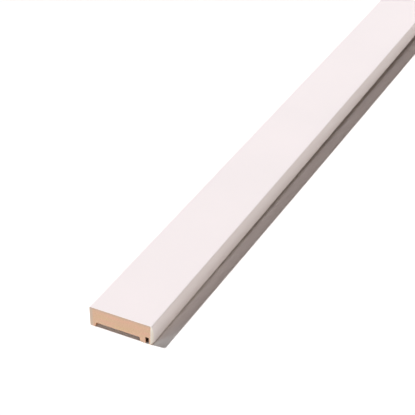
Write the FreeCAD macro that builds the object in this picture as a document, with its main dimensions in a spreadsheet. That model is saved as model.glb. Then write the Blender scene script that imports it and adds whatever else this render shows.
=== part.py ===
import FreeCAD, Part
import os
import Sketcher

# Architrave moulding: a length of white coated, square edged fibreboard trim, lying face up on its
# back. It is one piece: a strip of board, planed and grooved along its whole back and sawn to length.
#
# Frame, in millimetres: the origin is under the middle of the strip, on the plane of its back. Z points
# up through the face, Y runs along the length and X across it, towards the edge with the groove.

# The sizes that can each be set by themselves: name, value in millimetres, meaning
DRIVING_SIZES = (
    ("stock_length", 2100.0, "length that the moulding is sold in"),
    ("face_width", 56.0, "width over the two long edges"),
    ("board_thickness", 18.0, "from the back to the face"),
    ("face_arris_radius", 0.8, "easing of the two long arrises of the face"),
    ("back_arris_chamfer", 0.5, "small bevel on the two long arrises of the back"),
    ("relief_depth", 4.0, "hollow planed into the back, so that it bridges an uneven wall"),
    ("relief_side_land", 4.5, "flat land between the plain long edge and the mouth of the hollow"),
    ("relief_side_run", 1.3, "how far each side of the hollow leans in on its way up"),
    ("relief_corner_radius", 0.8, "rounding where each side of the hollow meets its ceiling"),
    ("groove_width", 3.0, "narrow groove sawn into the back beside the other long edge"),
    ("groove_depth", 6.0, "from the plane of the back to the top of the groove"),
    ("groove_lip", 2.9, "wall that is left between the groove and the long edge"),
    ("middle_land", 4.3, "flat land between the groove and the mouth of the hollow"),
    ("cutter_overrun", 1.0, "how far the cutters reach out below the back"),
)

NODE = "architrave_moulding"
PARTS_FOLDER = "parts"

# Numbers of a sketch's own axes and origin, and of the ends of a line, in a constraint
SKETCH_AXES = -1
START = 1
END = 2


# The document and its table of sizes

def make_size_table(doc):
    sheet = doc.addObject("Spreadsheet::Sheet", "Sizes")
    for row, (name, value, meaning) in enumerate(DRIVING_SIZES, start=1):
        sheet.set(f"A{row}", name)
        sheet.set(f"B{row}", str(value))
        sheet.set(f"C{row}", meaning)
        sheet.setAlias(f"B{row}", name)
    doc.recompute()
    return sheet


# Sketches of the cross-section, seen along the length: sketch x is X, sketch y is Z

def cross_section_sketch(body, name):
    sketch = body.newObject("Sketcher::SketchObject", name)
    plane = next(item for item in body.Origin.OriginFeatures if item.Role == "XZ_Plane")
    sketch.AttachmentSupport = [(plane, "")]
    sketch.MapMode = "FlatFace"
    return sketch


def add_closed_outline(sketch, corners):
    """Joins the corners with lines, the last one back to the first, and gives the lines' numbers."""
    points = [FreeCAD.Vector(x, z, 0) for x, z in corners]
    lines = []
    for start, end in zip(points, points[1:] + points[:1]):
        lines.append(sketch.addGeometry(Part.LineSegment(start, end), False))
    for line, following in zip(lines, lines[1:] + lines[:1]):
        sketch.addConstraint(Sketcher.Constraint("Coincident", line, END, following, START))
    return lines


def set_size(sketch, kind, name, first, second, expression):
    """A named dimension from one point to another, each given as a line and its end, tied to the table."""
    drawn = sketch.getPoint(*second) - sketch.getPoint(*first)
    drawn_size = drawn.x if kind == "DistanceX" else drawn.y
    number = sketch.addConstraint(Sketcher.Constraint(kind, *first, *second, drawn_size))
    sketch.renameConstraint(number, name)
    sketch.setExpression(f"Constraints.{name}", expression)


def check_fully_constrained(sketch):
    if sketch.solve() != 0 or not sketch.FullyConstrained:
        raise RuntimeError(f"sketch {sketch.Name} isn't fully constrained")


def board_sketch(body, size):
    """The plain rectangle of the ripped strip, with its back on the X axis."""
    sketch = cross_section_sketch(body, "BoardSection")
    half = size.face_width / 2
    top = size.board_thickness
    back, edge, face, other_edge = add_closed_outline(
        sketch, ((-half, 0), (half, 0), (half, top), (-half, top)))
    for line in (back, face):
        sketch.addConstraint(Sketcher.Constraint("Horizontal", line))
    for line in (edge, other_edge):
        sketch.addConstraint(Sketcher.Constraint("Vertical", line))
    sketch.addConstraint(
        Sketcher.Constraint("Symmetric", back, START, back, END, SKETCH_AXES, START))
    set_size(sketch, "DistanceX", "width", (back, START), (back, END), "Sizes.face_width")
    set_size(sketch, "DistanceY", "thickness", (edge, START), (edge, END), "Sizes.board_thickness")
    return sketch


def groove_sketch(body, size):
    """The narrow groove beside the edge at +X, open at the back."""
    sketch = cross_section_sketch(body, "GrooveSection")
    right = size.face_width / 2 - size.groove_lip
    left = right - size.groove_width
    top = size.groove_depth
    mouth, right_wall, ceiling, left_wall = add_closed_outline(
        sketch,
        ((left, -size.cutter_overrun), (right, -size.cutter_overrun), (right, top), (left, top)))
    for line in (mouth, ceiling):
        sketch.addConstraint(Sketcher.Constraint("Horizontal", line))
    for line in (right_wall, left_wall):
        sketch.addConstraint(Sketcher.Constraint("Vertical", line))
    origin = (SKETCH_AXES, START)
    set_size(sketch, "DistanceX", "right_wall", origin, (right_wall, START),
             "Sizes.face_width / 2 - Sizes.groove_lip")
    set_size(sketch, "DistanceX", "width", (mouth, START), (mouth, END), "Sizes.groove_width")
    set_size(sketch, "DistanceY", "depth", origin, (right_wall, END), "Sizes.groove_depth")
    set_size(sketch, "DistanceY", "overrun", (right_wall, START), origin, "Sizes.cutter_overrun")
    return sketch


def relief_sketch(body, size):
    """The wide shallow hollow: upright below the back, then leaning in towards its flat ceiling."""
    sketch = cross_section_sketch(body, "ReliefSection")
    left = -size.face_width / 2 + size.relief_side_land
    right = size.face_width / 2 - size.groove_lip - size.groove_width - size.middle_land
    below = -size.cutter_overrun
    top = size.relief_depth
    mouth, right_exit, right_side, ceiling, left_side, left_exit = add_closed_outline(
        sketch,
        (
            (left, below),
            (right, below),
            (right, 0),
            (right - size.relief_side_run, top),
            (left + size.relief_side_run, top),
            (left, 0),
        ))
    for line in (mouth, ceiling):
        sketch.addConstraint(Sketcher.Constraint("Horizontal", line))
    for line in (right_exit, left_exit):
        sketch.addConstraint(Sketcher.Constraint("Vertical", line))
    for line in (right_exit, left_side):
        sketch.addConstraint(Sketcher.Constraint("PointOnObject", line, END, SKETCH_AXES))
    origin = (SKETCH_AXES, START)
    set_size(sketch, "DistanceX", "left_rim", (left_side, END), origin,
             "Sizes.face_width / 2 - Sizes.relief_side_land")
    set_size(sketch, "DistanceX", "right_rim", origin, (right_exit, END),
             "Sizes.face_width / 2 - Sizes.groove_lip - Sizes.groove_width - Sizes.middle_land")
    set_size(sketch, "DistanceX", "right_run", (right_side, END), (right_side, START),
             "Sizes.relief_side_run")
    set_size(sketch, "DistanceX", "left_run", (left_side, END), (left_side, START),
             "Sizes.relief_side_run")
    set_size(sketch, "DistanceY", "depth", origin, (right_side, END), "Sizes.relief_depth")
    set_size(sketch, "DistanceY", "overrun", (mouth, END), origin, "Sizes.cutter_overrun")
    return sketch


# The strip and what the cutters take away from it

def rip_board(body, sketch):
    """The plain strip, as long before its middle as behind it."""
    board = body.newObject("PartDesign::Pad", "Board")
    board.Profile = sketch
    board.SideType = "Symmetric"
    board.setExpression("Length", "Sizes.stock_length")
    return board


def run_cutter(body, sketch, name):
    """Cuts the sketched section away along the whole length."""
    cut = body.newObject("PartDesign::Pocket", name)
    cut.Profile = sketch
    cut.SideType = "Symmetric"
    cut.Type = "ThroughAll"
    return cut


def long_edges(shape, places):
    """Names of the edges that run along the whole length through the given places (x, z)."""
    tolerance = 1e-4
    names = []
    for number, edge in enumerate(shape.Edges, start=1):
        box = edge.BoundBox
        if box.XLength > tolerance or box.ZLength > tolerance:
            continue
        for x, z in places:
            if abs(box.XMin - x) < tolerance and abs(box.ZMin - z) < tolerance:
                names.append(f"Edge{number}")
    if len(names) != len(places):
        raise RuntimeError(f"found {len(names)} long edges where {len(places)} were meant")
    return names


def dress_edges(body, kind, name, base, places, property_name, expression):
    """Rounds or bevels the long edges of the base feature that run through the places."""
    dressing = body.newObject(kind, name)
    dressing.Base = (base, long_edges(base.Shape, places))
    dressing.setExpression(property_name, expression)
    body.Document.recompute()
    return dressing


def make_moulding(doc, size):
    body = doc.addObject("PartDesign::Body", "ArchitraveMoulding")
    body.Label = NODE

    board = rip_board(body, board_sketch(body, size))
    doc.recompute()
    relief = run_cutter(body, relief_sketch(body, size), "BackRelief")
    doc.recompute()
    groove = run_cutter(body, groove_sketch(body, size), "BackGroove")
    doc.recompute()

    half = size.face_width / 2
    ceiling_left = -half + size.relief_side_land + size.relief_side_run
    ceiling_right = (half - size.groove_lip - size.groove_width - size.middle_land
                     - size.relief_side_run)
    ceiling_corners = ((ceiling_left, size.relief_depth), (ceiling_right, size.relief_depth))
    face_arrises = ((-half, size.board_thickness), (half, size.board_thickness))
    back_arrises = ((-half, 0), (half, 0))

    rounded_relief = dress_edges(body, "PartDesign::Fillet", "ReliefCorners", groove,
                                 ceiling_corners, "Radius", "Sizes.relief_corner_radius")
    eased_face = dress_edges(body, "PartDesign::Fillet", "FaceArrises", rounded_relief,
                             face_arrises, "Radius", "Sizes.face_arris_radius")
    bevelled_back = dress_edges(body, "PartDesign::Chamfer", "BackArrises", eased_face,
                                back_arrises, "Size", "Sizes.back_arris_chamfer")
    body.Tip = bevelled_back
    body.Placement = FreeCAD.Placement()
    doc.recompute()

    stages = (board, relief, groove, rounded_relief, eased_face, bevelled_back)
    return body, stages


# What has to hold before anything is written

def check_document(doc):
    for item in doc.Objects:
        if "Invalid" in item.State or "Error" in item.State:
            raise RuntimeError(f"{item.Name} failed: {item.State}")
        if item.isDerivedFrom("Sketcher::SketchObject"):
            check_fully_constrained(item)


def check_moulding(body, stages, size):
    """One valid solid, from which every cut has taken what its section says."""
    shape = body.Shape
    if shape.isNull() or not shape.isValid() or len(shape.Solids) != 1:
        raise RuntimeError("the moulding isn't one valid solid")
    board, relief, groove = (stage.Shape.Volume for stage in stages[:3])
    mouth = (size.face_width - size.relief_side_land - size.middle_land
             - size.groove_width - size.groove_lip)
    relief_area = (mouth - size.relief_side_run) * size.relief_depth
    groove_area = size.groove_width * size.groove_depth
    for name, cut_away, area in (
        ("the relief", board - relief, relief_area),
        ("the groove", relief - groove, groove_area),
    ):
        wanted = area * size.stock_length
        if abs(cut_away - wanted) > 1e-6 * wanted:
            raise RuntimeError(f"{name} cut away {cut_away:.0f} mm3, not {wanted:.0f}")
    print(f"{NODE}: section {shape.Volume / size.stock_length:.1f} mm2, volume {shape.Volume:.0f} mm3")


def write_step(body):
    os.makedirs(PARTS_FOLDER, exist_ok=True)
    body.Shape.exportStep(os.path.join(PARTS_FOLDER, f"{body.Label}.step"))


def main():
    doc = FreeCAD.newDocument("ArchitraveMoulding")
    size = make_size_table(doc)
    body, stages = make_moulding(doc, size)
    check_document(doc)
    check_moulding(body, stages, size)
    write_step(body)


main()
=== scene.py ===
import math

import bmesh
import bpy
from mathutils import Matrix, Vector, geometry, noise


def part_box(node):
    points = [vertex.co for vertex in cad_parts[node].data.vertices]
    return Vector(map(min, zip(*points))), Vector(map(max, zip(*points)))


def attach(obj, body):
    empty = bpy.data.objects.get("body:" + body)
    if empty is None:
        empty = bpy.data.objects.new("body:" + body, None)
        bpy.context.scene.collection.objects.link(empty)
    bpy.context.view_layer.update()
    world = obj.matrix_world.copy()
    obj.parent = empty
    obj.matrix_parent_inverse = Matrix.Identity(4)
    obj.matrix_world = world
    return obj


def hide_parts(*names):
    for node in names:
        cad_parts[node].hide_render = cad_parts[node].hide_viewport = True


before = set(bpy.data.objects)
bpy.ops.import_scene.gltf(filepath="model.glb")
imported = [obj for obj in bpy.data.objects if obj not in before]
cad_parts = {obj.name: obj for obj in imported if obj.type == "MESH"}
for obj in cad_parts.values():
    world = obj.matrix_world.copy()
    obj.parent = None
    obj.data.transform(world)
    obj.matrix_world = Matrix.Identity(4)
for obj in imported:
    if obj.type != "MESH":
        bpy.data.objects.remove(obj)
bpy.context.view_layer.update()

# Architrave moulding: a white coated fibreboard strip with square edges, lying face up on a white floor.
# The frame is the part's own, in metres: Z up through the face, Y along the length, X across it towards
# the edge with the groove. The sawn end that the photograph shows is the one at the lowest Y.

MM = 0.001
NODE = "architrave_moulding"
BODY = "root"

# The strip's outer sizes, from the frame
low_corner, high_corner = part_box(NODE)
LENGTH = high_corner.y - low_corner.y
HALF_LENGTH = LENGTH / 2
HALF_WIDTH = (high_corner.x - low_corner.x) / 2
THICKNESS = high_corner.z - low_corner.z

# The machined section
FACE_ARRIS_RADIUS = 0.8 * MM
BACK_BEVEL = 0.5 * MM
RELIEF_DEPTH = 4.0 * MM
RELIEF_SIDE_LAND = 4.5 * MM
RELIEF_SIDE_RUN = 1.3 * MM
RELIEF_CORNER_RADIUS = 0.8 * MM
GROOVE_WIDTH = 3.0 * MM
GROOVE_DEPTH = 6.0 * MM
GROOVE_LIP = 2.9 * MM
MIDDLE_LAND = 4.3 * MM

# The coat: thin over the face and the plain edge, and thicker with filler on the porous edge by the
# groove, most of it low down
FACE_COAT = 0.15 * MM
PLAIN_EDGE_COAT = 0.2 * MM
GROOVE_EDGE_COAT_HIGH = 1.0 * MM
GROOVE_EDGE_COAT_LOW = 1.7 * MM
UNDER_COAT_RADIUS = 0.5 * MM

# How finely the section and the sawn ends are divided. The inner points of an end face stand on a grid,
# each out of place by up to the uneven share of its step, and none closer to an outline than the clear share.
ARC_STEPS = 6
OUTLINE_STEP = 1.0 * MM
END_FACE_STEP = 0.7 * MM
END_FACE_NOISE_SCALE = 0.7
END_FACE_UNEVEN_SHARE = 0.25
END_FACE_CLEAR_SHARE = 0.4
END_FACE_SEED = 5
END_ZONE = 4.0 * MM
WELD_DISTANCE = 0.001 * MM
CREASE_ANGLE = math.radians(35)

# How close to the strip's side the middle of a coated face is. The middle of a bevel's face is deeper.
COATED_EDGE_MARGIN = 0.1 * BACK_BEVEL

# The saw's work on the two ends: the board tears a little below its crisp coat, the coat's edge chips here
# and there, the filled corner breaks away, and fibres stand loose, leaning by one angle at least and another
# at most. The noise scales are per millimetre.
TORN_DEPTH = 0.07 * MM
TORN_NOISE_SCALE = (1.1, 2.2)
COAT_CHIP_DEPTH = 0.10 * MM
CHIP_NOISE_SCALE = 0.9
CHIP_LEAST_NOISE = 0.15
BROKEN_ARRIS = 2.4 * MM
BROKEN_ARRIS_FADE = 7.0 * MM
RAGGED_SHARE = 0.25
RAGGED_LENGTH = 2.0 * MM
SAW_MARK_PITCH = 1.3 * MM
BLADE_CENTRE = (-95 * MM, 120 * MM)
FIBRE_LENGTH = 0.55 * MM
FIBRE_THICKNESS = 0.03 * MM
FIBRE_SHORTEST_SHARE = 0.35
FIBRE_LEAN = (math.radians(74), math.radians(88))
FIBRES_PER_SQUARE_METRE = 1.0e6
FIBRE_SEED = 7

# The cutters' work on the back and the painted shade in its cuts: the ripple that each knife leaves in the
# relief and the groove, the heights above the back between which the cuts are painted darker and browner as
# shade, and how far past its walls the groove's nearly black painted shade reaches
RIPPLE_PITCH = 1.6 * MM
CUT_SHADE_START = 0.05 * MM
CUT_SHADE_FULL = 0.8 * MM
GROOVE_PAINTED_SHADE_MARGIN = 0.2 * MM

# How far in from an edge the finishes reach: the coat that soaked into the sawn board at the plain edge,
# and the overspray on the back, each from where it is full to where it has faded out
SOAKED_FULL = 2.0 * MM
SOAKED_OUT = 3.4 * MM
OVERSPRAY_FULL = 0.4 * MM
OVERSPRAY_OUT = 3.6 * MM

# The photograph's camera: its focal length in pixels, how it is aimed, and where it sees the strip's
# near, left, lower corner
PHOTO_SIZE = 415
SENSOR_WIDTH = 36.0
FOCAL_PIXELS = 1291.0
CAMERA_PITCH = math.radians(33.603)
CAMERA_YAW = math.radians(27.033)
NEAR_CORNER_PIXEL = (90.23, 324.54)
NEAR_CORNER_DEPTH = 1020.2 * MM

# The lamps, each with its level, the way to it from the strip (its turn from the lowest Y towards X, and
# its height, in degrees), and how wide it looks. At level 1 a lamp shows a facing colour as it is written.
# The key comes over the plain edge, the front one lights the near end, the side one the edge with the
# groove, and the back one the far end.
KEY = {"level": 0.952, "turn": -83.5, "height": 58.5, "spread": 2.0, "colour": (1.0, 0.992, 0.993)}
FRONT = {"level": 0.31, "turn": -22.0, "height": 18.0, "spread": 20.0, "colour": (0.82, 0.95, 1.0)}
SIDE = {"level": 0.366, "turn": 60.0, "height": 5.0, "spread": 16.0, "colour": (1.0, 0.94, 0.82)}
BACK = {"level": 0.25, "turn": 180.0, "height": 6.0, "spread": 16.0, "colour": (1.0, 1.0, 1.0)}
SKY_LEVEL = 0.045
SKY_COLOUR = (1.0, 0.40, 0.31)

# The floor, a little below the strip's back so that the two don't flicker into each other. Long trim bows a
# little and stands off its floor along the middle, so the floor is hollowed under the straight strip. The
# floor that is seen is a little over white, so that it shows as white as the sky.
FLOOR_SIZE = 60.0
FLOOR_GAP = 0.2 * MM
FLOOR_HOLLOW = 4.5 * MM
FLOOR_ROWS = 24
FLOOR_BOUNCE = (0.85, 0.85, 0.85, 1)
FLOOR_SEEN = (1.08, 1.08, 1.08, 1)


# Small helpers for node trees

def add_node(tree, kind, place=(0, 0), **settings):
    node = tree.nodes.new(kind)
    node.location = place
    for name, value in settings.items():
        setattr(node, name, value)
    return node


def set_inputs(node, **values):
    for name, value in values.items():
        node.inputs[name.replace("_", " ")].default_value = value
    return node


def math_on(tree, operation, *values, place=(0, 0)):
    """A math node on sockets or plain numbers."""
    node = add_node(tree, "ShaderNodeMath", place, operation=operation)
    for socket, value in zip(node.inputs, values):
        if isinstance(value, (int, float)):
            socket.default_value = value
        else:
            tree.links.new(value, socket)
    return node.outputs[0]


def parts_on(tree, source, place=(0, 0)):
    """The sockets of a vector's parts along X, Y and Z."""
    node = add_node(tree, "ShaderNodeSeparateXYZ", place)
    tree.links.new(source, node.inputs[0])
    return node.outputs


def rgb(red, green, blue):
    """A colour as it is seen on a screen, from 0 to 255, made linear for the shaders."""
    linear = []
    for level in (red, green, blue):
        share = level / 255
        linear.append(share / 12.92 if share <= 0.04045 else ((share + 0.055) / 1.055) ** 2.4)
    return (*linear, 1.0)


# The section of the strip, as lists of points (x, z)

def round_corner(before, corner, after, radius):
    """The points of an arc that eases the corner, or the corner itself where there is no radius."""
    if radius == 0:
        return [corner]
    here = Vector(corner)
    to_before = (Vector(before) - here).normalized()
    to_after = (Vector(after) - here).normalized()
    half_angle = to_before.angle(to_after) / 2
    centre = here + (to_before + to_after).normalized() * (radius / math.sin(half_angle))
    reach = radius / math.tan(half_angle)
    start = here + to_before * reach - centre
    end = here + to_after * reach - centre
    turn = start.angle_signed(end)
    points = []
    for step in range(ARC_STEPS + 1):
        spoke = start.copy()
        spoke.rotate(Matrix.Rotation(-turn * step / ARC_STEPS, 2))
        points.append(tuple(centre + spoke))
    return points


def ease_corners(corners):
    """Points of an open line through corners (x, z, radius). Its two ends stay sharp."""
    points = [corners[0][:2]]
    for before, corner, after in zip(corners, corners[1:], corners[2:]):
        points += round_corner(before[:2], corner[:2], after[:2], corner[2])
    points.append(corners[-1][:2])
    return points


def divide(points, longest):
    """The same open line with no stretch longer than the given one."""
    rounding = 1e-6
    divided = [points[0]]
    for start, end in zip(points, points[1:]):
        a, b = Vector(start), Vector(end)
        count = max(1, math.ceil((b - a).length / longest - rounding))
        divided += [tuple(a.lerp(b, step / count)) for step in range(1, count + 1)]
    return divided


def coated_line():
    """The coated outside: up the plain edge, over the face and down the edge by the groove."""
    corners = (
        (-HALF_WIDTH, BACK_BEVEL, 0),
        (-HALF_WIDTH, THICKNESS, FACE_ARRIS_RADIUS),
        (HALF_WIDTH, THICKNESS, FACE_ARRIS_RADIUS),
        (HALF_WIDTH, BACK_BEVEL, 0),
    )
    return divide(ease_corners(corners), OUTLINE_STEP)


def under_coat_line():
    """Where the coat meets the board, from the same first point to the same last one."""
    top = THICKNESS - FACE_COAT
    plain = -HALF_WIDTH + PLAIN_EDGE_COAT
    high = HALF_WIDTH - GROOVE_EDGE_COAT_HIGH
    low = HALF_WIDTH - GROOVE_EDGE_COAT_LOW
    corners = (
        (-HALF_WIDTH, BACK_BEVEL, 0),
        (plain, BACK_BEVEL, 0),
        (plain, top, UNDER_COAT_RADIUS),
        (high, top, UNDER_COAT_RADIUS),
        (low, BACK_BEVEL, 0),
        (HALF_WIDTH, BACK_BEVEL, 0),
    )
    return divide(ease_corners(corners), OUTLINE_STEP)


def groove_sides():
    """Where the groove's two walls stand across the strip."""
    right = HALF_WIDTH - GROOVE_LIP
    return right - GROOVE_WIDTH, right


def back_line():
    """The bare back, from the edge by the groove to the plain edge: lip, groove, land, relief, land."""
    groove_left, groove_right = groove_sides()
    relief_right = groove_left - MIDDLE_LAND
    relief_left = -HALF_WIDTH + RELIEF_SIDE_LAND
    corners = (
        (HALF_WIDTH, BACK_BEVEL, 0),
        (HALF_WIDTH - BACK_BEVEL, 0, 0),
        (groove_right, 0, 0),
        (groove_right, GROOVE_DEPTH, 0),
        (groove_left, GROOVE_DEPTH, 0),
        (groove_left, 0, 0),
        (relief_right, 0, 0),
        (relief_right - RELIEF_SIDE_RUN, RELIEF_DEPTH, RELIEF_CORNER_RADIUS),
        (relief_left + RELIEF_SIDE_RUN, RELIEF_DEPTH, RELIEF_CORNER_RADIUS),
        (relief_left, 0, 0),
        (-HALF_WIDTH + BACK_BEVEL, 0, 0),
        (-HALF_WIDTH, BACK_BEVEL, 0),
    )
    return divide(ease_corners(corners), OUTLINE_STEP)


def is_inside(point, loop):
    """Whether the point is inside the closed loop, by counting the sides that pass to its right."""
    x, z = point
    inside = False
    for (x1, z1), (x2, z2) in zip(loop, loop[1:] + loop[:1]):
        if (z1 > z) != (z2 > z) and x < x1 + (z - z1) / (z2 - z1) * (x2 - x1):
            inside = not inside
    return inside


def distance_to_loop(point, loop):
    here = Vector(point)
    nearest = []
    for start, end in zip(loop, loop[1:] + loop[:1]):
        a, b = Vector(start), Vector(end)
        foot, share = geometry.intersect_point_line(here, a, b)
        foot = a if share < 0 else b if share > 1 else foot.to_2d()
        nearest.append((here - foot).length)
    return min(nearest)


def points_within(loop, step):
    """Points on a slightly uneven grid inside the loop, none of them close to its sides."""
    # Without a seed the noise would differ from run to run
    noise.seed_set(END_FACE_SEED)
    found = []
    for column in range(math.ceil(2 * HALF_WIDTH / step)):
        for row in range(math.ceil(THICKNESS / step)):
            x = -HALF_WIDTH + (column + 0.5) * step
            z = (row + 0.5) * step
            uneven = noise.noise_vector(Vector((x, z, 0)) / step * END_FACE_NOISE_SCALE)
            shift = uneven * step * END_FACE_UNEVEN_SHARE
            point = (x + shift.x, z + shift.y)
            if is_inside(point, loop) and distance_to_loop(point, loop) > END_FACE_CLEAR_SHARE * step:
                found.append(point)
    return found


# The long surfaces, swept from the section by geometry nodes

def sweep_tree(coat, board):
    """Draws a section's outline out along Y and gives its outer faces the coat and the rest bare board."""
    tree = bpy.data.node_groups.new("sweep_section_along_length", "GeometryNodeTree")
    tree.interface.new_socket("Section", in_out="INPUT", socket_type="NodeSocketGeometry")
    for name in ("Length", "End Zone", "Coated From Height", "Coated From Middle"):
        tree.interface.new_socket(name, in_out="INPUT", socket_type="NodeSocketFloat")
    tree.interface.new_socket("Strip", in_out="OUTPUT", socket_type="NodeSocketGeometry")
    given = add_node(tree, "NodeGroupInput", (-1200, 0))
    result = add_node(tree, "NodeGroupOutput", (1400, 0))
    link = tree.links.new

    start = math_on(tree, "MULTIPLY", given.outputs["Length"], -0.5, place=(-1000, 200))
    to_start = add_node(tree, "ShaderNodeCombineXYZ", (-800, 200))
    link(start, to_start.inputs["Y"])
    placed = add_node(tree, "GeometryNodeSetPosition", (-600, 0))
    link(given.outputs["Section"], placed.inputs["Geometry"])
    link(to_start.outputs[0], placed.inputs["Offset"])

    between = math_on(tree, "MULTIPLY_ADD", given.outputs["End Zone"], -2.0, given.outputs["Length"],
                      place=(-1000, -300))
    shape, front = placed.outputs["Geometry"], None
    for number, stretch in enumerate((given.outputs["End Zone"], between, given.outputs["End Zone"])):
        along = add_node(tree, "ShaderNodeCombineXYZ", (-400 + 300 * number, -300))
        link(stretch, along.inputs["Y"])
        drawn = add_node(tree, "GeometryNodeExtrudeMesh", (-300 + 300 * number, 0), mode="EDGES")
        link(shape, drawn.inputs["Mesh"])
        link(along.outputs[0], drawn.inputs["Offset"])
        if front:
            link(front, drawn.inputs["Selection"])
        shape, front = drawn.outputs["Mesh"], drawn.outputs["Top"]

    place = add_node(tree, "GeometryNodeInputPosition", (300, -400))
    parts = parts_on(tree, place.outputs[0], (450, -400))
    is_face = math_on(tree, "GREATER_THAN", parts["Z"], given.outputs["Coated From Height"],
                      place=(620, -300))
    from_middle = math_on(tree, "ABSOLUTE", parts["X"], place=(620, -460))
    is_edge = math_on(tree, "GREATER_THAN", from_middle, given.outputs["Coated From Middle"],
                      place=(780, -460))
    is_coated = math_on(tree, "MAXIMUM", is_face, is_edge, place=(940, -400))

    bare = add_node(tree, "GeometryNodeSetMaterial", (800, 0))
    bare.inputs["Material"].default_value = board
    link(shape, bare.inputs["Geometry"])
    coated = add_node(tree, "GeometryNodeSetMaterial", (1000, 0))
    coated.inputs["Material"].default_value = coat
    link(bare.outputs[0], coated.inputs["Geometry"])
    link(is_coated, coated.inputs["Selection"])
    realized = add_node(tree, "GeometryNodeRealizeInstances", (1200, 0))
    link(coated.outputs[0], realized.inputs["Geometry"])
    link(realized.outputs[0], result.inputs["Strip"])
    return tree


def socket_id(tree, name):
    for item in tree.interface.items_tree:
        if item.name == name and item.in_out == "INPUT":
            return item.identifier
    raise KeyError(name)


def run_tree(source, tree, inputs, name):
    """Evaluates the tree on the source object and gives a plain mesh object of the result."""
    modifier = source.modifiers.new(tree.name, "NODES")
    modifier.node_group = tree
    for label, value in inputs.items():
        modifier[socket_id(tree, label)] = value
    evaluated = source.evaluated_get(bpy.context.evaluated_depsgraph_get())
    mesh = bpy.data.meshes.new_from_object(evaluated)
    mesh.name = name
    bpy.data.objects.remove(source)
    made = bpy.data.objects.new(name, mesh)
    bpy.context.scene.collection.objects.link(made)
    return made


def mesh_object(name, vertices, edges=(), faces=()):
    mesh = bpy.data.meshes.new(name)
    mesh.from_pydata(vertices, edges, faces)
    made = bpy.data.objects.new(name, mesh)
    bpy.context.scene.collection.objects.link(made)
    return made


def sweep_strip(coat, board):
    """The strip's long surfaces, open at both ends, with a narrow zone marked off beside each."""
    outline = coated_line() + back_line()[1:-1]
    count = len(outline)
    section = mesh_object(
        "section_outline",
        [(x, 0, z) for x, z in outline],
        edges=[(i, (i + 1) % count) for i in range(count)])
    return run_tree(section, sweep_tree(coat, board), {
        "Length": LENGTH,
        "End Zone": END_ZONE,
        "Coated From Height": THICKNESS - FACE_ARRIS_RADIUS,
        "Coated From Middle": HALF_WIDTH - COATED_EDGE_MARGIN,
    }, "moulding_strip")


# The sawn ends

def end_face_triangles():
    """The end's points (x, z), its triangles, and for each triangle whether it is coat."""
    outside, under, back = coated_line(), under_coat_line(), back_line()
    inner = points_within(under + back[1:-1], END_FACE_STEP)
    points = outside + under[1:-1] + back[1:-1] + inner
    under_start = len(outside)
    back_start = under_start + len(under) - 2
    outside_numbers = list(range(under_start))
    under_numbers = list(range(under_start, back_start))
    back_numbers = list(range(back_start, back_start + len(back) - 2))
    # Both faces run anticlockwise, as the triangulation takes them
    coat_face = under_numbers + outside_numbers[::-1]
    board_face = back_numbers[::-1] + [outside_numbers[-1]] + under_numbers[::-1] + [0]
    # The triangulation is done in millimetres, where its tolerance is small beside the points' distances
    only_inside, tolerance = 1, 1e-5
    places, _, triangles, _, _, origins = geometry.delaunay_2d_cdt(
        [Vector(point) / MM for point in points], [], [coat_face, board_face], only_inside, tolerance)
    coat_number = 0
    is_coat = [coat_number in origin for origin in origins]
    return [tuple(place * MM) for place in places], triangles, is_coat


def torn_depth(x, z):
    """How far the saw tore the board below the end's plane at (x, z). The streaks lie flat."""
    here = Vector((x * TORN_NOISE_SCALE[0], z * TORN_NOISE_SCALE[1], 0)) / MM
    increment, lacunarity, octaves = 0.8, 2.0, 3
    torn = 0.5 + 0.5 * noise.fractal(here, increment, lacunarity, octaves)
    return TORN_DEPTH * max(0.0, min(1.0, torn))


def chip_depth(x, z):
    """How deep a chip the saw left in the coat's edge at (x, z): mostly none."""
    here = Vector((x, z, 0)) / MM
    chipped = max(0.0, noise.noise(here * CHIP_NOISE_SCALE) - CHIP_LEAST_NOISE)
    return COAT_CHIP_DEPTH * chipped / (1 - CHIP_LEAST_NOISE)


def broken_arris_depth(x, z):
    """How far back the filled edge by the groove is broken away at (x, z). It fades towards the face, and
    the filler next to the board holds."""
    holding_until = HALF_WIDTH - 0.5 * GROOVE_EDGE_COAT_HIGH
    if x < holding_until:
        return 0.0
    ragged = 1 + RAGGED_SHARE * noise.noise(Vector((0, 0, z)) / RAGGED_LENGTH)
    return BROKEN_ARRIS * ragged * min(1.0, (THICKNESS - z) / BROKEN_ARRIS_FADE)


def close_ends(strip, filler_with_painted_highlight, board):
    """Adds the two end faces, joins them to the long surfaces and roughens them as sawn."""
    points, triangles, is_coat = end_face_triangles()
    # The coat's cut edges get the filler, painted paler than the white coat as a painted highlight
    strip.data.materials.append(filler_with_painted_highlight)
    strip.data.materials.append(board)
    filler_with_painted_highlight_number = len(strip.data.materials) - 2
    board_number = len(strip.data.materials) - 1
    bm = bmesh.new()
    bm.from_mesh(strip.data)
    for side in (-1, 1):
        corners = [bm.verts.new((x, side * HALF_LENGTH, z)) for x, z in points]
        for triangle, coated in zip(triangles, is_coat):
            face = bm.faces.new([corners[i] for i in triangle])
            face.material_index = filler_with_painted_highlight_number if coated else board_number
    bmesh.ops.remove_doubles(bm, verts=bm.verts, dist=WELD_DISTANCE)
    bmesh.ops.recalc_face_normals(bm, faces=bm.faces)
    ends_start = HALF_LENGTH - 0.5 * END_ZONE
    for vertex in bm.verts:
        x, y, z = vertex.co
        if abs(y) < ends_start:
            continue
        if any(face.material_index == filler_with_painted_highlight_number for face in vertex.link_faces):
            depth = chip_depth(x, z) + broken_arris_depth(x, z)
        else:
            depth = torn_depth(x, z)
        vertex.co.y = math.copysign(HALF_LENGTH - depth, y)
    bm.to_mesh(strip.data)
    bm.free()
    strip.data.shade_smooth()
    strip.data.set_sharp_from_angle(angle=CREASE_ANGLE)


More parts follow.
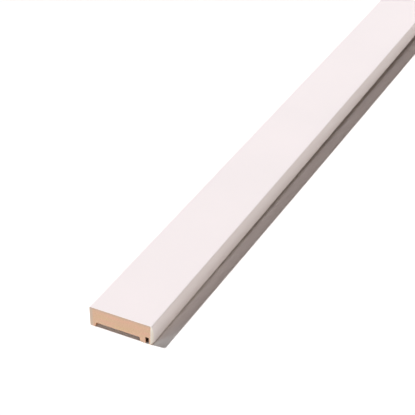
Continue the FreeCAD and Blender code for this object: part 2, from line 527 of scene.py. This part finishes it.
def fibre_tree(material):
    """Scatters short bent fibres over a face, leaning over so that they stay close to it."""
    tree = bpy.data.node_groups.new("fibres_on_sawn_end", "GeometryNodeTree")
    tree.interface.new_socket("End Face", in_out="INPUT", socket_type="NodeSocketGeometry")
    for name in ("Fibre Length", "Fibre Thickness", "Density"):
        tree.interface.new_socket(name, in_out="INPUT", socket_type="NodeSocketFloat")
    tree.interface.new_socket("Seed", in_out="INPUT", socket_type="NodeSocketInt")
    tree.interface.new_socket("Fibres", in_out="OUTPUT", socket_type="NodeSocketGeometry")
    given = add_node(tree, "NodeGroupInput", (-1200, 0))
    result = add_node(tree, "NodeGroupOutput", (900, 0))
    link = tree.links.new

    points = add_node(tree, "GeometryNodeDistributePointsOnFaces", (-700, 200))
    link(given.outputs["End Face"], points.inputs["Mesh"])
    link(given.outputs["Density"], points.inputs["Density"])
    link(given.outputs["Seed"], points.inputs["Seed"])

    # One fibre of unit length, bent a little, which each place then scales and turns
    bend = add_node(tree, "GeometryNodeCurveQuadraticBezier", (-700, -200))
    set_inputs(bend, Resolution=4, Start=(0, 0, -0.1), Middle=(0.12, 0, 0.5), End=(0, 0, 1.0))
    ring = add_node(tree, "GeometryNodeCurvePrimitiveCircle", (-700, -450))
    set_inputs(ring, Resolution=3)
    slimness = math_on(tree, "DIVIDE", given.outputs["Fibre Thickness"], given.outputs["Fibre Length"],
                       place=(-1050, -450))
    link(math_on(tree, "MULTIPLY", slimness, 0.5, place=(-880, -450)), ring.inputs["Radius"])
    fibre = add_node(tree, "GeometryNodeCurveToMesh", (-450, -200))
    link(bend.outputs["Curve"], fibre.inputs["Curve"])
    link(ring.outputs["Curve"], fibre.inputs["Profile Curve"])
    fibre.inputs["Fill Caps"].default_value = True

    stand = add_node(tree, "FunctionNodeAlignRotationToVector", (-450, 450), axis="Z")
    link(points.outputs["Normal"], stand.inputs["Vector"])
    spin = add_node(tree, "FunctionNodeRandomValue", (-700, 650), data_type="FLOAT_VECTOR")
    spin.inputs[0].default_value = (0, FIBRE_LEAN[0], 0)
    spin.inputs[1].default_value = (0, FIBRE_LEAN[1], 2 * math.pi)
    link(given.outputs["Seed"], spin.inputs["Seed"])
    turned = add_node(tree, "FunctionNodeEulerToRotation", (-450, 650))
    link(spin.outputs[0], turned.inputs[0])
    lay = add_node(tree, "FunctionNodeRotateRotation", (-200, 450), rotation_space="LOCAL")
    link(stand.outputs[0], lay.inputs["Rotation"])
    link(turned.outputs[0], lay.inputs["Rotate By"])

    share = add_node(tree, "FunctionNodeRandomValue", (-200, 200), data_type="FLOAT")
    share.inputs[2].default_value = FIBRE_SHORTEST_SHARE
    share.inputs[3].default_value = 1.0
    link(given.outputs["Seed"], share.inputs["Seed"])
    size = math_on(tree, "MULTIPLY", share.outputs[1], given.outputs["Fibre Length"], place=(0, 200))

    planted = add_node(tree, "GeometryNodeInstanceOnPoints", (200, 0))
    link(points.outputs["Points"], planted.inputs["Points"])
    link(fibre.outputs[0], planted.inputs["Instance"])
    link(lay.outputs[0], planted.inputs["Rotation"])
    link(size, planted.inputs["Scale"])
    realized = add_node(tree, "GeometryNodeRealizeInstances", (450, 0))
    link(planted.outputs[0], realized.inputs["Geometry"])
    painted = add_node(tree, "GeometryNodeSetMaterial", (650, 0))
    painted.inputs["Material"].default_value = material
    link(realized.outputs[0], painted.inputs["Geometry"])
    link(painted.outputs[0], result.inputs["Fibres"])
    return tree


def grow_fibres(strip, board, material):
    """The loose fibres that the saw raised on the bare part of both end faces."""
    board_number = list(strip.data.materials).index(board)
    bm = bmesh.new()
    bm.from_mesh(strip.data)
    unwanted = [face for face in bm.faces if face.material_index != board_number]
    bmesh.ops.delete(bm, geom=unwanted, context="FACES")
    patch = mesh_object("bare_end_faces", [])
    bm.to_mesh(patch.data)
    bm.free()
    fibres = run_tree(patch, fibre_tree(material), {
        "Fibre Length": FIBRE_LENGTH,
        "Fibre Thickness": FIBRE_THICKNESS,
        "Density": FIBRES_PER_SQUARE_METRE,
        "Seed": FIBRE_SEED,
    }, "end_fibres")
    # A fibre that would reach past the strip's own outline is laid back onto it
    for vertex in fibres.data.vertices:
        x, y, z = vertex.co
        vertex.co = (
            max(-HALF_WIDTH, min(HALF_WIDTH, x)),
            max(-HALF_LENGTH, min(HALF_LENGTH, y)),
            max(0.0, min(THICKNESS, z)),
        )
    return fibres


# Materials

def new_material(name):
    material = bpy.data.materials.new(name)
    material.use_nodes = True
    material.node_tree.nodes.clear()
    return material, material.node_tree


def object_place(tree):
    return add_node(tree, "ShaderNodeTexCoord", (-2000, 0)).outputs["Object"]


def stretch_on(tree, source, scale, place=(0, 0)):
    node = add_node(tree, "ShaderNodeMapping", place)
    node.inputs["Scale"].default_value = scale
    tree.links.new(source, node.inputs["Vector"])
    return node.outputs[0]


def noise_on(tree, source, scale, detail, roughness=0.5, place=(0, 0)):
    node = add_node(tree, "ShaderNodeTexNoise", place)
    set_inputs(node, Scale=scale, Detail=detail, Roughness=roughness)
    tree.links.new(source, node.inputs["Vector"])
    return node.outputs["Fac"]


def waves_on(tree, source, pitch, distortion, detail, place=(0, 0), **settings):
    """Regular waves of the given pitch."""
    node = add_node(tree, "ShaderNodeTexWave", place, **settings)
    waves_per_unit_scale = 20 / (2 * math.pi)
    set_inputs(node, Scale=1 / (pitch * waves_per_unit_scale), Distortion=distortion, Detail=detail)
    tree.links.new(source, node.inputs["Vector"])
    return node.outputs["Fac"]


def ramp_on(tree, source, stops, place=(0, 0)):
    """A colour ramp through stops (position, colour)."""
    node = add_node(tree, "ShaderNodeValToRGB", place)
    elements = node.color_ramp.elements
    for element, (position, colour) in zip(elements, (stops[0], stops[-1])):
        element.position, element.color = position, colour
    for position, colour in stops[1:-1]:
        elements.new(position).color = colour
    tree.links.new(source, node.inputs["Fac"])
    return node.outputs["Color"]


def range_on(tree, source, least, most, low=0.0, high=1.0, place=(0, 0)):
    node = add_node(tree, "ShaderNodeMapRange", place)
    set_inputs(node, From_Min=least, From_Max=most, To_Min=low, To_Max=high)
    tree.links.new(source, node.inputs["Value"])
    return node.outputs["Result"]


def mix_on(tree, share, below, above, blend="MIX", place=(0, 0)):
    """Two colours mixed. The share and each colour are sockets or plain values."""
    node = add_node(tree, "ShaderNodeMix", place, data_type="RGBA", blend_type=blend)
    for name, value in (("Factor", share), ("A", below), ("B", above)):
        sockets = [s for s in node.inputs if s.name == name and s.enabled]
        if isinstance(value, (float, tuple)):
            sockets[0].default_value = value
        else:
            tree.links.new(value, sockets[0])
    return next(s for s in node.outputs if s.name == "Result" and s.enabled)


def bump_on(tree, source, strength, distance, below=None, place=(0, 0)):
    node = add_node(tree, "ShaderNodeBump", place)
    set_inputs(node, Strength=strength, Distance=distance)
    tree.links.new(source, node.inputs["Height"])
    if below:
        tree.links.new(below, node.inputs["Normal"])
    return node.outputs["Normal"]


def finish_surface(tree, colour, roughness, normal, specular=0.5):
    """The one shader of a material. Roughness is a socket or one number for the whole surface."""
    shader = add_node(tree, "ShaderNodeBsdfPrincipled", (300, 0))
    shader.inputs["Specular IOR Level"].default_value = specular
    tree.links.new(colour, shader.inputs["Base Color"])
    if isinstance(roughness, float):
        shader.inputs["Roughness"].default_value = roughness
    else:
        tree.links.new(roughness, shader.inputs["Roughness"])
    tree.links.new(normal, shader.inputs["Normal"])
    output = add_node(tree, "ShaderNodeOutputMaterial", (600, 0))
    tree.links.new(shader.outputs[0], output.inputs["Surface"])


def make_white_coat():
    """White satin coat: even, very faintly pink, with the slight ripple of a sprayed film."""
    material, tree = new_material("white_coat")
    place = object_place(tree)
    drift = noise_on(tree, place, 9.0, 3.0, place=(-900, 200))
    colour = ramp_on(tree, drift, (
        (0.30, rgb(243, 236, 237)),
        (0.70, rgb(247, 239, 240)),
    ), (-600, 200))
    patches = noise_on(tree, place, 40.0, 2.0, place=(-900, 0))
    roughness = range_on(tree, patches, 0.3, 0.7, 0.42, 0.50, (-600, 0))
    ripple = noise_on(tree, place, 620.0, 2.0, place=(-900, -200))
    normal = bump_on(tree, ripple, 0.12, 0.06 * MM, place=(-300, -200))
    finish_surface(tree, colour, roughness, normal)
    return material


def make_filler_with_painted_highlight():
    """The cream filler under the white, which shows where the saw cut through the coated edges. It is painted
    paler than the white coat, a painted highlight along the cut edges and most of all on the broken corner by
    the groove.
    """
    material, tree = new_material("edge_filler_painted_highlight")
    place = object_place(tree)
    grains = noise_on(tree, place, 1400.0, 3.0, 0.6, (-900, 100))
    # Paler than the white coat: painted highlight over the filler's own cream
    colour = ramp_on(tree, grains, (
        (0.30, rgb(252, 243, 231)),
        (0.70, rgb(255, 251, 245)),
    ), (-600, 100))
    roughness = range_on(tree, grains, 0.3, 0.7, 0.55, 0.75, (-600, -100))
    normal = bump_on(tree, grains, 0.2, 0.05 * MM, place=(-300, -200))
    finish_surface(tree, colour, roughness, normal)
    return material


def make_sawn_board():
    """Sawn end of the board: pale tan, its fibres lying flat, and denser and greyer next to both faces and
    where the coat has soaked in at the plain edge."""
    material, tree = new_material("sawn_fibreboard")
    place = object_place(tree)
    flat = stretch_on(tree, place, (1.0, 1.0, 3.2), (-1700, 200))
    streaks = noise_on(tree, flat, 900.0, 5.0, 0.62, (-1400, 300))
    streak_colour = ramp_on(tree, streaks, (
        (0.28, rgb(215, 173, 144)),
        (0.50, rgb(232, 192, 165)),
        (0.74, rgb(243, 209, 183)),
    ), (-1100, 300))
    clouds = noise_on(tree, flat, 75.0, 3.0, 0.55, (-1400, 0))
    cloud_colour = ramp_on(tree, clouds, (
        (0.32, rgb(255, 246, 247)),
        (0.50, rgb(250, 249, 246)),
        (0.68, rgb(247, 251, 239)),
    ), (-1100, 0))
    fibres = mix_on(tree, 1.0, streak_colour, cloud_colour, "MULTIPLY", (-700, 200))

    parts = parts_on(tree, place, (-1700, -300))
    height = range_on(tree, parts["Z"], 0.0, THICKNESS, place=(-1400, -300))
    skins = ramp_on(tree, height, (
        (0.0, (0.30, 0.30, 0.30, 1)),
        (0.10, (0.0, 0.0, 0.0, 1)),
        (0.86, (0.0, 0.0, 0.0, 1)),
        (0.97, (0.42, 0.42, 0.42, 1)),
    ), (-1100, -300))
    colour = mix_on(tree, skins, fibres, rgb(187, 174, 164), place=(-500, 100))
    soaked = range_on(tree, parts["X"], -HALF_WIDTH + SOAKED_FULL, -HALF_WIDTH + SOAKED_OUT,
                      0.7, 0.0, (-1400, -450))
    colour = mix_on(tree, soaked, colour, rgb(208, 191, 178), place=(-300, 100))

    # The saw marks are arcs about the blade's centre
    from_blade = add_node(tree, "ShaderNodeMapping", (-1700, -600))
    from_blade.inputs["Location"].default_value = (-BLADE_CENTRE[0], 0, -BLADE_CENTRE[1])
    tree.links.new(place, from_blade.inputs["Vector"])
    arcs = waves_on(tree, from_blade.outputs[0], SAW_MARK_PITCH, 1.2, 2.0, (-1400, -600),
                    wave_type="RINGS", rings_direction="Y")
    normal = bump_on(tree, arcs, 0.25, 0.04 * MM, place=(-700, -500))
    normal = bump_on(tree, streaks, 0.35, 0.10 * MM, normal, (-400, -400))
    finish_surface(tree, colour, 0.85, normal, specular=0.2)
    return material


def make_machined_board():
    """The planed back: smoother and rippled by the cutters. Its cuts are painted darker and browner, and its
    groove nearly black, as painted shade.
    """
    material, tree = new_material("machined_fibreboard")
    place = object_place(tree)
    smeared = stretch_on(tree, place, (1.0, 0.12, 1.0), (-1700, 200))
    streaks = noise_on(tree, smeared, 700.0, 4.0, 0.6, (-1400, 300))
    colour = ramp_on(tree, streaks, (
        (0.30, rgb(196, 158, 128)),
        (0.52, rgb(208, 171, 141)),
        (0.74, rgb(219, 184, 155)),
    ), (-1100, 300))

    parts = parts_on(tree, place, (-1700, -200))
    in_cut = range_on(tree, parts["Z"], CUT_SHADE_START, CUT_SHADE_FULL, place=(-1400, -100))
    # Painted shade: the cuts are made darker and browner from a little above the back
    colour = mix_on(tree, math_on(tree, "MULTIPLY", in_cut, 0.75, place=(-1100, 50)),
                    colour, rgb(172, 112, 70), place=(-900, 200))

    # Painted shade: the groove, and a little past its walls, is made nearly black
    groove_left, groove_right = groove_sides()
    in_groove = math_on(tree, "COMPARE", parts["X"], (groove_left + groove_right) / 2,
                        GROOVE_WIDTH / 2 + GROOVE_PAINTED_SHADE_MARGIN, place=(-1400, -300))
    groove_painted_shade = math_on(tree, "MULTIPLY", in_groove, in_cut, place=(-1100, -250))
    colour = mix_on(tree, math_on(tree, "MULTIPLY", groove_painted_shade, 0.92, place=(-900, -150)),
                    colour, rgb(66, 40, 20), place=(-650, 200))

    # Overspray: a mist of coat that fades inwards over the back's outer lands
    from_middle = math_on(tree, "ABSOLUTE", parts["X"], place=(-1400, -500))
    near_edge = range_on(tree, from_middle, HALF_WIDTH - OVERSPRAY_OUT, HALF_WIDTH - OVERSPRAY_FULL,
                         place=(-1200, -500))
    spots = noise_on(tree, place, 2600.0, 2.0, 0.6, (-1400, -700))
    mist = range_on(tree, math_on(tree, "ADD", near_edge, spots, place=(-1000, -600)),
                    0.75, 1.35, place=(-850, -600))
    on_land = math_on(tree, "SUBTRACT", 1.0, in_cut, place=(-1000, -400))
    colour = mix_on(tree, math_on(tree, "MULTIPLY", mist, on_land, place=(-650, -450)),
                    colour, rgb(238, 230, 228), place=(-400, 100))

    ripples = waves_on(tree, place, RIPPLE_PITCH, 0.3, 1.0, (-1400, -950),
                       wave_type="BANDS", bands_direction="Y")
    cut_ripples = math_on(tree, "MULTIPLY", ripples, in_cut, place=(-1100, -900))
    normal = bump_on(tree, cut_ripples, 0.35, 0.05 * MM, place=(-700, -800))
    normal = bump_on(tree, streaks, 0.25, 0.06 * MM, normal, (-400, -600))
    finish_surface(tree, colour, 0.7, normal, specular=0.3)
    return material


def make_loose_fibre():
    """Loose fibres, a little paler than the board they stand on."""
    material, tree = new_material("loose_fibre")
    place = object_place(tree)
    tone = noise_on(tree, place, 2500.0, 1.0, place=(-900, 0))
    colour = ramp_on(tree, tone, (
        (0.35, rgb(212, 173, 144)),
        (0.65, rgb(240, 210, 184)),
    ), (-600, 0))
    normal = bump_on(tree, tone, 0.1, 0.01 * MM, place=(-300, -200))
    finish_surface(tree, colour, 0.8, normal, specular=0.2)
    return material


# The strip

def make_moulding():
    strip = sweep_strip(make_white_coat(), make_machined_board())
    sawn_board = make_sawn_board()
    close_ends(strip, make_filler_with_painted_highlight(), sawn_board)
    fibres = grow_fibres(strip, sawn_board, make_loose_fibre())
    for piece in (strip, fibres):
        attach(piece, BODY)
    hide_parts(NODE)


# The stage: floor, light and camera

def seen_directly(tree, place=(0, 0)):
    """1 for what the camera sees, by itself or in gloss or through glass, and 0 for light on the object."""
    path = add_node(tree, "ShaderNodeLightPath", place)
    gloss_or_glass = math_on(tree, "MAXIMUM", path.outputs["Is Glossy Ray"],
                             path.outputs["Is Transmission Ray"], place=(place[0] + 200, place[1]))
    return math_on(tree, "MAXIMUM", path.outputs["Is Camera Ray"], gloss_or_glass,
                   place=(place[0] + 400, place[1]))


def make_floor():
    """A white floor that keeps the strip's shadow. What it throws back on the strip is a little less."""
    reach = FLOOR_SIZE / 2
    rows = [(-reach, 0.0)]
    for row in range(FLOOR_ROWS + 1):
        share = 2 * row / FLOOR_ROWS - 1
        rows.append((share * HALF_LENGTH, FLOOR_HOLLOW * (1 - share * share)))
    rows.append((reach, 0.0))
    corners = [(x, y, -FLOOR_GAP - hollow) for y, hollow in rows for x in (-reach, reach)]
    quads = [(2 * i, 2 * i + 1, 2 * i + 3, 2 * i + 2) for i in range(len(rows) - 1)]
    floor = mesh_object("floor", corners, faces=quads)
    material, tree = new_material("white_floor")
    bounce = add_node(tree, "ShaderNodeBsdfDiffuse", (-400, 200))
    bounce.inputs["Color"].default_value = FLOOR_BOUNCE
    seen = add_node(tree, "ShaderNodeBsdfDiffuse", (-400, 0))
    seen.inputs["Color"].default_value = FLOOR_SEEN
    either = add_node(tree, "ShaderNodeMixShader", (-150, 0))
    tree.links.new(seen_directly(tree, (-1000, 400)), either.inputs["Fac"])
    tree.links.new(bounce.outputs[0], either.inputs[1])
    tree.links.new(seen.outputs[0], either.inputs[2])
    output = add_node(tree, "ShaderNodeOutputMaterial", (100, 0))
    tree.links.new(either.outputs[0], output.inputs["Surface"])
    floor.data.materials.append(material)


def make_sky():
    """A dim warm sky for the light, which the camera sees as plain white."""
    world = bpy.data.worlds.new("studio")
    bpy.context.scene.world = world
    world.use_nodes = True
    tree = world.node_tree
    tree.nodes.clear()
    light = add_node(tree, "ShaderNodeBackground", (-300, 150))
    light.inputs["Color"].default_value = (*SKY_COLOUR, 1)
    light.inputs["Strength"].default_value = SKY_LEVEL
    white = add_node(tree, "ShaderNodeBackground", (-300, -50))
    white.inputs["Color"].default_value = (1, 1, 1, 1)
    white.inputs["Strength"].default_value = 1.0
    either = add_node(tree, "ShaderNodeMixShader", (0, 0))
    tree.links.new(seen_directly(tree, (-1000, 300)), either.inputs["Fac"])
    tree.links.new(light.outputs[0], either.inputs[1])
    tree.links.new(white.outputs[0], either.inputs[2])
    output = add_node(tree, "ShaderNodeOutputWorld", (250, 0))
    tree.links.new(either.outputs[0], output.inputs["Surface"])


def add_lamp(name, lamp):
    """A distant lamp, soft in the measure of its spread."""
    turn, height = math.radians(lamp["turn"]), math.radians(lamp["height"])
    towards = Vector((-math.sin(turn) * math.cos(height), math.cos(turn) * math.cos(height),
                      -math.sin(height)))
    data = bpy.data.lights.new(name, "SUN")
    data.energy = math.pi * lamp["level"]
    data.angle = math.radians(lamp["spread"])
    data.color = lamp["colour"]
    made = bpy.data.objects.new(name, data)
    made.rotation_euler = towards.to_track_quat("-Z", "Y").to_euler()
    bpy.context.scene.collection.objects.link(made)


def make_camera():
    """The photograph's camera, placed so that the strip's near, left, lower corner is where it was seen."""
    heading = Vector((-math.sin(CAMERA_YAW), math.cos(CAMERA_YAW), 0))
    forward = heading * math.cos(CAMERA_PITCH) - Vector((0, 0, math.sin(CAMERA_PITCH)))
    right = forward.cross(Vector((0, 0, 1))).normalized()
    up = right.cross(forward)
    corner = Vector((-HALF_WIDTH, -HALF_LENGTH, 0))
    middle = PHOTO_SIZE / 2
    across = (NEAR_CORNER_PIXEL[0] - middle) / FOCAL_PIXELS * NEAR_CORNER_DEPTH
    above = (middle - NEAR_CORNER_PIXEL[1]) / FOCAL_PIXELS * NEAR_CORNER_DEPTH
    data = bpy.data.cameras.new("photograph_view")
    data.sensor_width = SENSOR_WIDTH
    data.lens = FOCAL_PIXELS / PHOTO_SIZE * SENSOR_WIDTH
    data.clip_start = 0.01
    data.clip_end = 100.0
    camera = bpy.data.objects.new("photograph_view", data)
    turn = Matrix((right, up, -forward)).transposed().to_4x4()
    camera.matrix_world = Matrix.Translation(
        corner - right * across - up * above - forward * NEAR_CORNER_DEPTH) @ turn
    bpy.context.scene.collection.objects.link(camera)
    bpy.context.scene.camera = camera


def make_stage():
    make_floor()
    make_sky()
    add_lamp("key", KEY)
    add_lamp("front", FRONT)
    add_lamp("side", SIDE)
    add_lamp("back", BACK)
    make_camera()
    bpy.context.scene.view_settings.view_transform = "Standard"


make_moulding()
make_stage()
